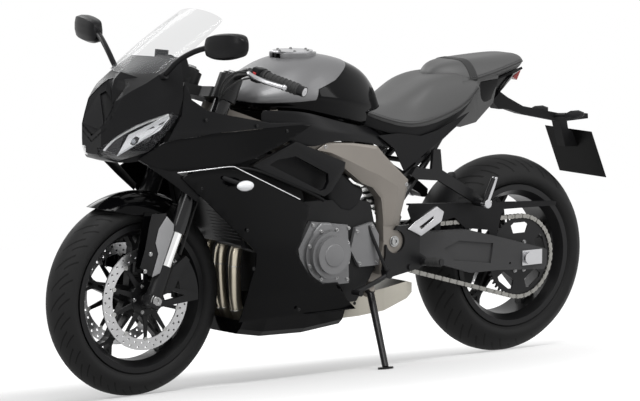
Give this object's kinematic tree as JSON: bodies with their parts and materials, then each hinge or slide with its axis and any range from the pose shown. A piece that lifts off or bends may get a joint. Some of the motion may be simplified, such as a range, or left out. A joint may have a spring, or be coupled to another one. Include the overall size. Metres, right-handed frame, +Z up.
{
  "type": "sport bike",
  "caption": "Faired sport bike parked on its side stand, with turning wheels, steering, folding side stand and hinged filler lid.",
  "frame": {"origin": "bottom centre of the whole machine as it stands on its side stand", "axes": "+X forward, +Y to the left of a seated rider, +Z up"},
  "size_m": [2.0778, 0.859, 1.1486],
  "materials": {
    "gloss_black": "gloss black paint",
    "satin_black": "satin black plastic",
    "grey_paint": "satin graphite paint",
    "bronze_paint": "warm grey satin paint",
    "black_metal": "satin black coated metal",
    "engine_metal": "dark cast alloy",
    "cover_metal": "grey satin cast alloy",
    "chrome_tube": "hard chromed steel",
    "disc_steel": "brushed stainless steel",
    "bare_steel": "zinc plated steel",
    "exhaust_steel": "straw tinted stainless steel",
    "alloy_silver": "silver anodised alloy",
    "tyre": "black tyre rubber",
    "grip_rubber": "black rubber",
    "seat_vinyl": "black grained seat cover",
    "screen": "lightly smoked clear plastic",
    "lamp_glass": "clear lamp cover",
    "lamp_bowl": "bright lamp reflector",
    "red_lens": "red lens",
    "plate_black": "blank black plate"
  },
  "bodies": {
    "chassis": {"belly_pan": "satin_black", "chain": "bare_steel", "chain_guard": "satin_black", "cockpit": "satin_black", "engine": "engine_metal", "engine_covers": "cover_metal", "foot_controls": "black_metal", "frame": "bronze_paint", "front_signals": "satin_black", "headers": "exhaust_steel", "headlights": "lamp_glass", "hugger": "satin_black", "lamp_bowls": "lamp_bowl", "mirrors": "satin_black", "nose_cowl": "satin_black", "number_plate": "plate_black", "peg_brackets": "black_metal", "pillion_pegs": "black_metal", "pillion_seat": "seat_vinyl", "plate_bracket": "satin_black", "radiator": "black_metal", "rear_axle": "alloy_silver", "rear_caliper": "black_metal", "rider_seat": "seat_vinyl", "shock": "bare_steel", "side_covers": "satin_black", "side_fairings": "satin_black", "silencer": "exhaust_steel", "subframe": "black_metal", "swingarm": "black_metal", "tail_cowl": "gloss_black", "tail_light": "red_lens", "tank": "gloss_black", "tank_cover": "grey_paint", "upper_fairings": "satin_black", "windscreen": "screen"},
    "steering": {"fork_lowers": "black_metal", "fork_tubes": "chrome_tube", "fork_outers": "black_metal", "yokes": "black_metal", "handlebars": "black_metal", "grips": "grip_rubber", "controls": "black_metal", "front_fender": "gloss_black", "front_calipers": "black_metal", "front_axle": "bare_steel", "brake_hoses": "grip_rubber"},
    "front_wheel": {"front_rim": "black_metal", "front_tyre": "tyre", "front_discs": "disc_steel"},
    "rear_wheel": {"rear_rim": "black_metal", "rear_tyre": "tyre", "rear_disc": "disc_steel", "rear_sprocket": "black_metal"},
    "side_stand": {"side_stand": "black_metal"},
    "filler_lid": {"filler_lid": "alloy_silver"}
  },
  "joints": [
    {"name": "steer", "type": "hinge", "parent": "chassis", "child": "steering", "pos_m": [0.47511, -0.04381, 0.78535], "axis": [-0.4035, 0.1431, 0.9037], "range_deg": [-27, 27]},
    {"name": "front_wheel_spin", "type": "hinge", "parent": "steering", "child": "front_wheel", "pos_m": [0.743, -0.12107, 0.29754], "axis": [0, 0.9877, -0.1564], "continuous": true},
    {"name": "rear_wheel_spin", "type": "hinge", "parent": "chassis", "child": "rear_wheel", "pos_m": [-0.683, -0.11872, 0.31235], "axis": [0, 0.9877, -0.1564], "continuous": true},
    {"name": "side_stand_fold", "type": "hinge", "parent": "chassis", "child": "side_stand", "pos_m": [-0.061, -0.00652, 0.24092], "axis": [0, 0.9373, 0.3486], "range_deg": [0, 104]},
    {"name": "filler_lid_open", "type": "hinge", "parent": "chassis", "child": "filler_lid", "pos_m": [0.21, -0.01078, 0.99386], "axis": [0, 0.9877, -0.1564], "range_deg": [0, 85]}
  ]
}
